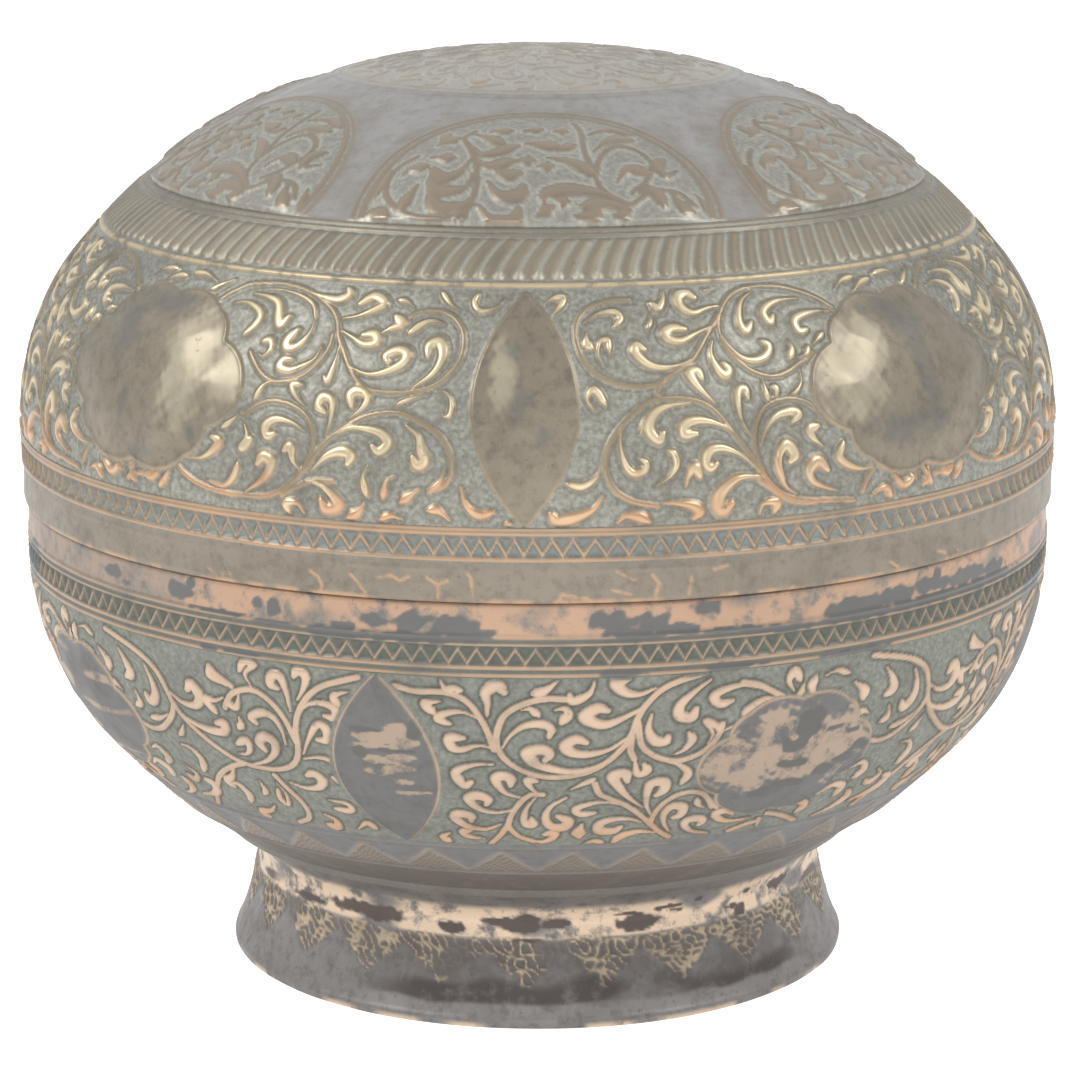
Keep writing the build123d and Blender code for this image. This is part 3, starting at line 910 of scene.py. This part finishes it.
def crown_ring(angle, along):
    """Six arches filled with scrolls, and the plain hollow star that they leave, darkened with
    painted shade beside the arches.
    """
    r, _, _, _ = lid.places(along)
    turn = np.mod(angle + 30, 60) - 30
    x = r * np.sin(np.radians(turn))
    y = r * np.cos(np.radians(turn))
    plan_x = r * np.sin(np.radians(angle))
    plan_y = r * np.cos(np.radians(angle))
    x = x + 0.3 * wavering(plan_x, plan_y, 19, 51)
    lens = (np.abs(x / 33.5) ** 2.2 + np.abs(np.clip(70.5 - y, 0, None) / 25.2) ** 2.2) ** (1 / 2.2)
    far = (lens - 1) * 24
    in_arch = eased(-far, -0.2, 0.5)
    border = np.exp(-(((far + 0.3) / 0.45) ** 2)) + 0.8 * np.exp(-(((far + 1.7) / 0.4) ** 2))
    high, moat = chased(x * DRAWN, y * DRAWN, crown_strokes())
    inner = eased(-far, 2.0, 2.6)
    edge = eased(crown_edge - along, 0.1, 0.5)
    lines = ring_line(r, 38.4, 0.4, 0.3) + ring_line(r, 40.0, 0.35, 0.22)
    dome = 0.9 * eased(-far, 0, 8.0) * in_arch
    hollow = -0.5 * (1 - in_arch) * eased(far, 0.0, 4.0) * eased(r, 40.5, 44)
    height = dome + hollow + 0.4 * high * inner - 0.12 * moat * inner + 0.25 * border * in_arch
    relief = np.clip(high * inner + border * in_arch + lines * 3, 0, 1)
    # Painted shade in the star's hollows beside the arches.
    shade_beside_arches = (1 - in_arch) * eased(5 - far + 2 * wavering(plan_x, plan_y, 9, 52), 0, 6)
    return (height + lines) * edge, {"relief": relief * edge, "panel": 1 - in_arch,
                                     "groove": 0.7 * moat * inner, "dirt": 0.45 * shade_beside_arches}


def medallion(angle, along):
    """Scrolls that turn about the top of the lid inside a fine double line."""
    r, _, _, _ = lid.places(along)
    turn = np.mod(angle, 30) * 1.5
    a = np.radians(turn - 8)
    high = np.zeros(r.shape)
    moat = np.zeros(r.shape)
    strokes = enlarged(drawing(MEDALLION))
    for step in (-45, 0, 45):
        b = a + math.radians(step)
        part, line = chased(r * np.sin(b) * DRAWN, r * np.cos(b) * DRAWN, strokes)
        high, moat = np.maximum(high, part), np.maximum(moat, line)
    inner = eased(36.0 - r, 0, 0.6)
    lines = ring_line(r, 36.6, 0.4, 0.3)
    rosette = 0.6 * np.clip(1 - (r / 3.2) ** 2, 0, 1) ** 0.5
    high = np.maximum(high * eased(r, 3.0, 4.0), rosette)
    height = 0.35 * high * inner - 0.1 * moat * (high < 0.02) * inner + lines
    # The whole medallion is lightened with pale colour as a painted sheen.
    return height, {"relief": np.clip(high * inner + lines * 3, 0, 1), "panel": 0 * r,
                    "groove": 0.7 * moat * (high < 0.02) * inner, "pale": 0.45 + 0 * r}


def hammered(size, depth, seed):
    """Broad shallow hammer marks over a plain sheet."""

    def press(angle, along):
        around = np.radians(angle) * 70
        height = depth * wavering(around, along, size, seed)
        height = height + depth * wavering(around, along, size * 0.6, seed + 1)
        return height, {"panel": 0 * around + 1.0}

    return press


# Turning the sheets


def turned_piece(name, outline, span, sheet, step, press, first=0.0, sweep=360.0, strips=1,
                 behind=0.0):
    """A turned band of sheet with its relief pressed into the face that shows.

    A flat grid is rolled up: across it runs the turn, up it runs the section of the sheet, along
    its outside, over its edge, back along its inside and over its other edge.  A lining starts
    behind the outline and shows its inside."""
    low, high = span
    lining = behind > 0
    whole = sweep >= 360
    rows = max(2, int(round((high - low) / step)))
    back_rows = max(1, int((high - low) / BACK_STEP))
    reach = outline.places(np.linspace(low, high, 9))[0].max()
    steps = int(round(math.radians(sweep) * reach / step / strips)) * strips
    outside, back = np.linspace(low, high, rows + 1), np.linspace(high, low, back_rows + 1)
    section = np.concatenate([outside, back, [low]])
    depths = np.concatenate([0 * outside - behind, 0 * back - sheet, [-behind]])
    bm = bmesh.new()
    bmesh.ops.create_grid(bm, x_segments=steps, y_segments=len(section) - 1, size=1.0)
    mesh = bpy.data.meshes.new(name)
    bm.to_mesh(mesh)

    place = np.zeros(len(mesh.vertices) * 3)
    mesh.vertices.foreach_get("co", place)
    across, up = (place.reshape(-1, 3)[:, :2].T + 1) / 2
    local = across * sweep
    level = np.rint(up * (len(section) - 1)).astype(int)
    along, depth = section[level], depths[level]
    r, z, out_r, out_z = outline.places(along)
    r, z = np.maximum(r + out_r * depth, 0), z + out_z * depth
    turn = np.radians(first + local)
    place = np.stack([np.sin(turn) * r, -np.cos(turn) * r, z], 1) * MM
    mesh.vertices.foreach_set("co", place.ravel())
    for key, values in (("turned", local), ("along", along), ("depth", depth)):
        kept = mesh.attributes.new(key, "FLOAT", "POINT")
        kept.data.foreach_set("value", values.astype(np.float32))
    bm.clear()
    bm.from_mesh(mesh)
    bmesh.ops.remove_doubles(bm, verts=bm.verts[:], dist=1e-6)
    if not whole:
        bmesh.ops.holes_fill(bm, edges=[e for e in bm.edges if e.is_boundary], sides=0)
    bmesh.ops.recalc_face_normals(bm, faces=bm.faces[:])
    bm.to_mesh(mesh)
    bm.free()
    mesh.polygons.foreach_set("use_smooth", np.ones(len(mesh.polygons), bool))
    mesh.set_sharp_from_angle(angle=math.radians(40))

    def held(key):
        values = np.zeros(len(mesh.vertices), np.float32)
        mesh.attributes[key].data.foreach_get("value", values)
        mesh.attributes.remove(mesh.attributes[key])
        return values.astype(float)

    local, along, depth = held("turned"), held("along"), held("depth")
    midway = -(sheet + behind) / 2
    shows = (depth < midway) if lining else (depth > midway)
    middle = local - (0.0 if whole else sweep / 2)
    middle = np.where(whole & (middle > 180), middle - 360, middle)
    height = np.zeros(along.shape)
    height[shows], given = press(middle[shows], along[shows])
    r, z, out_r, out_z = outline.places(along)
    lift = depth + height * (-1 if lining else 1)
    r, z = np.maximum(r + out_r * lift, 0), z + out_z * lift
    turn = np.radians(first + local)
    place = np.stack([np.sin(turn) * r, -np.cos(turn) * r, z], 1) * MM
    mesh.vertices.foreach_set("co", place.ravel())
    for key, values in given.items():
        share = np.zeros(along.shape, np.float32)
        share[shows] = values
        mesh.attributes.new(key, "FLOAT", "POINT").data.foreach_set("value", share)
    lay_flat(mesh, local, along, shows, span, sweep, strips)
    mesh.update()
    piece = bpy.data.objects.new(name, mesh)
    bpy.context.scene.collection.objects.link(piece)
    return piece


def lay_flat(mesh, local, along, shows, span, sweep, strips):
    """The piece's own flat map: the face that shows in strips one over another, the rest above."""
    count = len(mesh.loops)
    corner = np.zeros(count, int)
    mesh.loops.foreach_get("vertex_index", corner)
    sizes = np.zeros(len(mesh.polygons), int)
    mesh.polygons.foreach_get("loop_total", sizes)
    face = np.repeat(np.arange(sizes.size), sizes)
    turned = local[corner] / sweep
    first = turned[np.concatenate([[0], np.cumsum(sizes)[:-1]])][face]
    turned = turned - np.round(turned - first)
    total = np.bincount(face, turned)[face] / sizes[face]
    showing = (np.bincount(face, shows[corner])[face] == sizes[face])
    strip = np.clip(np.floor(total * strips), 0, strips - 1)
    share = (along[corner] - span[0]) / (span[1] - span[0])
    margin = 0.02
    u = np.where(showing, turned * strips - strip, turned)
    u = margin / 2 + u * (1 - margin)
    hidden = share * 0.8 + np.where(shows[corner], 0.1, 0.0)
    v = np.where(showing, strip + margin + share * (1 - 2 * margin),
                 strips + margin + hidden * (1 - 2 * margin))
    uv = np.stack([np.clip(u, 0, 1), v / (strips + 1)], 1)
    layer = mesh.uv_layers.new(name="OFBake")
    layer.data.foreach_set("uv", uv.ravel().astype(np.float32))


# Finishes


def linear(hex_colour):
    """An sRGB hex colour as the linear values that a node takes."""
    parts = [int(hex_colour[i:i + 2], 16) / 255 for i in (1, 3, 5)]
    return [p / 12.92 if p <= 0.04045 else ((p + 0.055) / 1.055) ** 2.4 for p in parts] + [1.0]


def add(tree, kind, feeds, **settings):
    """A node with its settings; feeds gives its sockets their values or what they are linked to."""
    made = tree.nodes.new(kind)
    for key, value in settings.items():
        setattr(made, key, value)
    for socket, value in feeds.items():
        if isinstance(value, bpy.types.NodeSocket):
            tree.links.new(value, made.inputs[socket])
        else:
            made.inputs[socket].default_value = value
    return made


def worn_copper(name, ground, leaf, crest_wear_and_highlight, plain, bare, dirt, groove, pit, low="#c59b79",
                slate="#6e6d6b", pale="#bfb59c", rough=(0.52, 0.36), metal=0.7, bare_spread=0.25,
                mottle=0.5):
    """Copper sheet, tinned, chased and worn by handling.  The tin is dull and grey in the sunk
    ground, rubbed bright on the raised forms, whose crests are lightened further as a painted
    highlight, and worn through to the copper where it is bare."""
    finish = bpy.data.materials.new(name)
    finish.use_nodes = True
    tree = finish.node_tree
    tree.nodes.clear()
    where = add(tree, "ShaderNodeTexCoord", {}).outputs["Object"]

    def share(key):
        return add(tree, "ShaderNodeAttribute", {}, attribute_name=key).outputs["Fac"]

    def noise(size_mm, detail=4.0, rough_=0.55):
        feeds = {"Vector": where, "Scale": 1000.0 / size_mm, "Detail": detail, "Roughness": rough_}
        return add(tree, "ShaderNodeTexNoise", feeds).outputs["Fac"]

    def ramp(value, low, high, start=0.0, end=1.0):
        feeds = {"Value": value, "From Min": low, "From Max": high, "To Min": start, "To Max": end}
        return add(tree, "ShaderNodeMapRange", feeds).outputs["Result"]

    def both(a, b, operation="MULTIPLY"):
        feeds = {0: a, 1: b}
        return add(tree, "ShaderNodeMath", feeds, operation=operation, use_clamp=True).outputs[0]

    def mixed(share_, a, b):
        feeds = {0: share_, 6: a, 7: b}
        return add(tree, "ShaderNodeMix", feeds, data_type="RGBA").outputs[2]

    relief, panel = share("relief"), share("panel")
    # The sizes are in millimetres: broad patches of wear, streaks as long as a finger's rub, specks
    # of dirt, fine pits in the ground and, for the bump, a grain too small to see one by one.
    patches = noise(14.0, 5.0)
    specks = noise(1.6, 3.0)
    streaks = noise(5.0, 6.0, 0.65)
    fine = noise(0.9, 3.0)
    colour = mixed(ramp(fine, 0.36, 0.66), linear(ground), linear(pit))
    colour = mixed(ramp(relief, 0.08, 0.5), colour, linear(leaf))
    # The crests of the relief: rubbed tin, and a painted highlight.
    colour = mixed(ramp(relief, 0.55, 1.0), colour, linear(crest_wear_and_highlight))
    colour = mixed(both(share("copper"), ramp(relief, 0.1, 0.6, 0.0, 0.85)), colour, linear(low))
    colour = mixed(panel, colour, linear(plain))
    dusty = both(panel, ramp(noise(2.4, 5.0, 0.7), 0.48, 0.72, 0.0, 0.6))
    colour = mixed(dusty, colour, linear(dirt))
    mottled = both(ramp(patches, 0.42, 0.72, 0.0, mottle), ramp(streaks, 0.35, 0.65))
    colour = mixed(mottled, colour, linear(dirt))
    worn = both(ramp(patches, 0.62, 0.5, 0.0, bare_spread), ramp(relief, 0.2, 0.7))
    worn = both(worn, both(share("bare"), ramp(streaks, 0.62, 0.5)), "ADD")
    colour = mixed(worn, colour, linear(bare))
    # Tool's lines: painted shade where their colour is darker than the ground, a painted highlight
    # where it is lighter.
    colour = mixed(share("groove"), colour, linear(groove))
    # Pale patches: rubbed tin, and painted highlights and sheen.
    colour = mixed(both(share("pale"), ramp(streaks, 0.25, 0.6, 0.4, 1.0)), colour, linear(pale))
    colour = mixed(share("slate"), colour, linear(slate))
    # Stains, and painted shade in the crown's hollows and under the bowl.
    colour = mixed(both(share("dirt"), ramp(streaks, 0.3, 0.5, 0.4, 1.0)), colour, linear(dirt))
    colour = mixed(ramp(specks, 0.66, 0.74, 0.0, 0.45), colour, linear(dirt))
    rubbed = both(relief, ramp(panel, 0.0, 1.0, 0.0, 0.25), "ADD")
    gloss = ramp(rubbed, 0.0, 0.8, rough[0], rough[1])
    gloss = both(gloss, ramp(streaks, 0.3, 0.7, -0.05, 0.08), "ADD")
    grain = noise(0.5, 4.0, 0.7)
    bump = add(tree, "ShaderNodeBump", {"Height": grain, "Strength": 0.15, "Distance": 0.0001})
    shader = add(tree, "ShaderNodeBsdfPrincipled", {
        "Base Color": colour, "Metallic": metal, "Roughness": gloss, "Normal": bump.outputs[0],
    })
    add(tree, "ShaderNodeOutputMaterial", {"Surface": shader.outputs[0]})
    return finish


# Punched ground holds grey-green dirt; the leaves over it are rubbed bright, their crests lightened
# further as a painted highlight, with painted shade in the tool's line round them.
lid_scrolls = worn_copper(
    "Tinned copper, chased, lid scrolls", ground="#838177", pit="#a2a197", leaf="#93866f",
    crest_wear_and_highlight="#dccdaa", plain="#8b8272", bare="#c39c7a", dirt="#5f5850", groove="#79756a",
    bare_spread=0.12)
# Flat brownish lobes, with a painted highlight along the tool's lines between them.
rope_finish = worn_copper(
    "Tinned copper, chased, rope", ground="#85857d", pit="#97978f", leaf="#857d6f",
    crest_wear_and_highlight="#8d8373", plain="#8f8779", bare="#c8b594", dirt="#6b6258", groove="#a9a392",
    rough=(0.55, 0.46), bare_spread=0.1)
# Handled least: a pale dull ground, brown leaves with a painted highlight round their edges, a grey
# star with painted shade beside the arches, and a painted sheen over the medallion.
crown_finish = worn_copper(
    "Tinned copper, chased, crown", ground="#908c82", pit="#a1a098", leaf="#8d8374",
    crest_wear_and_highlight="#958a7a", plain="#a19f9c", bare="#b09277", dirt="#857a6e", groove="#b5b5aa",
    pale="#c4bfb6", rough=(0.5, 0.36), bare_spread=0.1, mottle=0.35)
# Plain wall rubbed by the hands that lift it, so the tin is streaked and warm.
lid_rim_finish = worn_copper(
    "Tinned copper, plain lid rim", ground="#7e7b74", pit="#8e887f", leaf="#998a76",
    crest_wear_and_highlight="#b6a182", plain="#8c8376", bare="#c19c7b", dirt="#665f56", groove="#868a84",
    bare_spread=0.5, low="#b29175")
# Tin wiped away: salmon copper, clouded with slate grey.
bowl_rim_finish = worn_copper(
    "Copper, tin worn away, bowl rim", ground="#75736d", pit="#6d6f68", leaf="#8f816e",
    crest_wear_and_highlight="#ae997c", plain="#8f867c", bare="#b9987f", dirt="#5d5f60", groove="#666960",
    slate="#6b6a68", bare_spread=0.5)
# Tin worn off the flat pinkish leaves, while the plain panels went slate grey; the tool's line
# round the leaves is painted shade.
bowl_scrolls = worn_copper(
    "Copper, tin worn off the leaves, bowl scrolls", ground="#797a71", pit="#8f9086",
    leaf="#c0a58e", crest_wear_and_highlight="#c9b099", plain="#72706e", bare="#b49e89", dirt="#605e5b",
    groove="#53544c", slate="#676562", rough=(0.6, 0.44), bare_spread=0.15)
# Never rubbed, so it stays dull and even; painted shade darkens the underside below the triangles.
base_finish = worn_copper(
    "Tinned copper, dull under the bowl", ground="#7a7368", pit="#898278", leaf="#8e8378",
    crest_wear_and_highlight="#a69b8b", plain="#7d7c7b", bare="#a58f79", dirt="#6a635e", groove="#68645f",
    rough=(0.6, 0.48))
# Mottled grey tin, a cream copper neck and a brown-black stain in the curls.
foot_finish = worn_copper(
    "Tinned copper, chased foot", ground="#7f7b76", pit="#89847f", leaf="#aa9a81",
    crest_wear_and_highlight="#b5a78d", plain="#888481", bare="#e0c8af", dirt="#534c49", groove="#514742",
    slate="#605651", metal=0.6, rough=(0.5, 0.42))
# Tin wiped on hot with a cloth: smooth grey, faintly cloudy.
tin_lining = worn_copper(
    "Tin lining, wiped by hand", ground="#a3a29b", pit="#acaba5", leaf="#a3a29b",
    crest_wear_and_highlight="#a3a29b", plain="#a9a8a1", bare="#b7a58f", dirt="#8a867d", groove="#8a867d",
    rough=(0.42, 0.36), metal=0.85)
# A tinned strip that is never polished, gone greenish.
collar_tin = worn_copper(
    "Tinned copper strip, dull and greenish", ground="#969a86", pit="#9fa290", leaf="#969a86",
    crest_wear_and_highlight="#969a86", plain="#969a86", bare="#b7a58f", dirt="#6f7263", groove="#8a867d")
# Solder run in along the joint and left: matt grey-brown.
old_solder = worn_copper(
    "Soft solder, old and dull", ground="#7d7971", pit="#86827a", leaf="#7d7971",
    crest_wear_and_highlight="#7d7971", plain="#7d7971", bare="#83817c", dirt="#5f5d58", groove="#5f5d58",
    rough=(0.6, 0.55), metal=0.6)

# The pieces

FINE, SIDE, REAR = ((0.29, 0.4, 0.46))
MID = 0.36
WIDE = 0.5
LID_SKIN, BOWL_SKIN = 0.85, 0.75  # how thick the pressed bands are; the linings lie behind them


def set_piece(piece, body, node, finish):
    """Rides, replaced node, slot and finish of a piece."""
    piece.data.materials.append(finish)
    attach(piece, body)
    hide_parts(node)


lid_oval = ((lid_scroll_low - lid_scroll_high) / 2, (lid_scroll_low - lid_scroll_high) / 2, 9.0)
bowl_oval = (
    (bowl_scroll_high - bowl_scroll_low) / 2, (bowl_scroll_high - bowl_scroll_low) / 2, 9.4)
for i, step in enumerate((FINE, SIDE, REAR, SIDE)):
    middle = LID_PANELS + 90 * i
    press = scroll_band(
        LID_REACH, lid_scroll_high, 1, LID_RIGHT, LID_LEFT, (23.3, 15.0, 21.2, 1.5), lid_oval,
        depth=0.62, slope=0.85, full=1.65, first=middle, wear=lid_wear, seed=61)
    piece = turned_piece(
        f"lid_scrolls_{i + 1}", lid, (lid_scroll_high, lid_scroll_low), LID_SKIN, step, press,
        first=middle - 45, sweep=90, strips=2)
    set_piece(piece, "lid", "lid_shell", lid_scrolls)
    middle = BOWL_PANELS + 90 * i
    press = scroll_band(
        BOWL_REACH, bowl_scroll_high, -1, BOWL_RIGHT, BOWL_LEFT, (17.8, 12.3, 20.0, 0.9),
        bowl_oval, depth=0.4, slope=0.55, full=1.15, first=middle, wear=bowl_wear, seed=71)
    piece = turned_piece(
        f"bowl_scrolls_{i + 1}", bowl, (bowl_scroll_low, bowl_scroll_high), BOWL_SKIN, step, press,
        first=middle - 45, sweep=90, strips=2)
    set_piece(piece, "base", "bowl_shell", bowl_scrolls)

lid_bands = (
    ("lid_medallion", (0, medallion_edge), 1.15 * MID, medallion, crown_finish, LID_SKIN, 1),
    ("lid_crown", (medallion_edge, crown_edge), WIDE, crown_ring, crown_finish, LID_SKIN, 3),
    ("lid_rope", (crown_edge, lid_scroll_high), MID, rope_band, rope_finish, LID_SKIN, 6),
    ("lid_rim", (lid_scroll_low, lid_edge), MID, lid_rim, lid_rim_finish, 1.4, 7),
)
for name, span, step, press, finish, sheet, strips in lid_bands:
    piece = turned_piece(name, lid, span, sheet, step, press, strips=strips)
    set_piece(piece, "lid", "lid_shell", finish)

bowl_bands = (
    ("bowl_rim", (bowl_scroll_high, bowl_edge), MID, bowl_rim, bowl_rim_finish, 1.1, 7),
    ("bowl_base", (flange_line, bowl_scroll_low), WIDE, bowl_base, base_finish, BOWL_SKIN, 4),
    ("bowl_underside", (0, flange_line), 2.0, hammered(11, 0.05, 81), base_finish, BOWL_SKIN, 1),
)
for name, span, step, press, finish, sheet, strips in bowl_bands:
    piece = turned_piece(name, bowl, span, sheet, step, press, strips=strips)
    set_piece(piece, "base", "bowl_shell", finish)

piece = turned_piece("foot_band", foot, (0, foot_edge), 1.2, 1.1 * MID, foot_band, strips=4)
set_piece(piece, "base", "foot_ring", foot_finish)

piece = turned_piece("lid_lining", lid, (0, lid_scroll_low), 1.4, 2.2, hammered(9, 0.06, 91),
                     behind=0.9)
set_piece(piece, "lid", "lid_shell", tin_lining)
piece = turned_piece("bowl_lining", bowl, (0, bowl_scroll_high), 1.1, 2.2, hammered(9, 0.06, 95),
                     behind=0.8)
set_piece(piece, "base", "bowl_shell", tin_lining)

for node, finish in (("bowl_collar", collar_tin), ("foot_solder_seam", old_solder),
                     ("collar_solder_seam", old_solder)):
    nodes[node].data.materials.clear()
    nodes[node].data.materials.append(finish)

# Floor, light and camera

bm = bmesh.new()
bmesh.ops.create_grid(bm, x_segments=1, y_segments=1, size=3.0)
floor_mesh = bpy.data.meshes.new("floor")
bm.to_mesh(floor_mesh)
bm.free()
floor = bpy.data.objects.new("floor", floor_mesh)
bpy.context.scene.collection.objects.link(floor)
paper = bpy.data.materials.new("White paper floor")
paper.use_nodes = True
tree = paper.node_tree
tree.nodes.clear()
path = add(tree, "ShaderNodeLightPath", {})
rays = {0: path.outputs["Is Camera Ray"], 1: path.outputs["Is Glossy Ray"]}
seen = add(tree, "ShaderNodeMath", rays, operation="MAXIMUM").outputs[0]
sheet_white = add(tree, "ShaderNodeBsdfDiffuse", {"Color": linear("#f4f4f4")})
glow = add(tree, "ShaderNodeEmission", {"Color": linear("#ffffff"), "Strength": 0.55})
lit = add(tree, "ShaderNodeAddShader", {0: sheet_white.outputs[0], 1: glow.outputs[0]})
choice = add(tree, "ShaderNodeMixShader", {0: seen, 1: sheet_white.outputs[0], 2: lit.outputs[0]})
add(tree, "ShaderNodeOutputMaterial", {"Surface": choice.outputs[0]})
floor_mesh.materials.append(paper)

# The camera sees plain white.  What the metal mirrors is a room that is bright behind the box and
# dimmer in front of it, which keeps the near faces from turning white.
world = bpy.data.worlds.new("White studio")
bpy.context.scene.world = world
world.use_nodes = True
tree = world.node_tree
tree.nodes.clear()
seen = add(tree, "ShaderNodeLightPath", {}).outputs["Is Camera Ray"]
towards = add(tree, "ShaderNodeTexCoord", {}).outputs["Generated"]
depth = add(tree, "ShaderNodeSeparateXYZ", {0: towards}).outputs["Y"]
bright = add(tree, "ShaderNodeMapRange", {
    "Value": depth, "From Min": -0.9, "From Max": 0.4, "To Min": 0.42, "To Max": 1.1,
}).outputs["Result"]
room = add(tree, "ShaderNodeBackground", {"Color": linear("#e9ebee"), "Strength": bright})
white = add(tree, "ShaderNodeBackground", {"Color": linear("#ffffff"), "Strength": 1.0})
choice = add(tree, "ShaderNodeMixShader", {0: seen, 1: room.outputs[0], 2: white.outputs[0]})
add(tree, "ShaderNodeOutputWorld", {"Surface": choice.outputs[0]})


def soft_lamp(name, place, aim, size, power):
    """A square soft box turned towards a point."""
    lamp = bpy.data.lights.new(name, "AREA")
    lamp.shape = "SQUARE"
    lamp.size = size
    lamp.energy = power
    holder = bpy.data.objects.new(name, lamp)
    holder.location = place
    away = holder.location - type(holder.location)(aim)
    holder.rotation_euler = away.to_track_quat("Z", "Y").to_euler()
    bpy.context.scene.collection.objects.link(holder)


soft_lamp("left", (-0.78, -0.45, 0.85), (0, 0, 0.09), 0.45, 6.0)
soft_lamp("right", (0.78, -0.45, 0.85), (0, 0, 0.09), 0.45, 5.0)
soft_lamp("front", (0.0, -1.3, 0.45), (0, 0, 0.09), 0.7, 3.0)

camera_data = bpy.data.cameras.new("camera")
camera = bpy.data.objects.new("camera", camera_data)
bpy.context.scene.collection.objects.link(camera)
camera.location = (0, -EYE_AWAY * MM, EYE_HIGH * MM)
camera.rotation_euler = (math.pi / 2 - LOOKING_DOWN, 0, 0)
camera_data.lens = LENS
camera_data.sensor_width = SENSOR
camera_data.shift_x = SHIFT
bpy.context.scene.camera = camera
bpy.context.scene.view_settings.view_transform = "Standard"
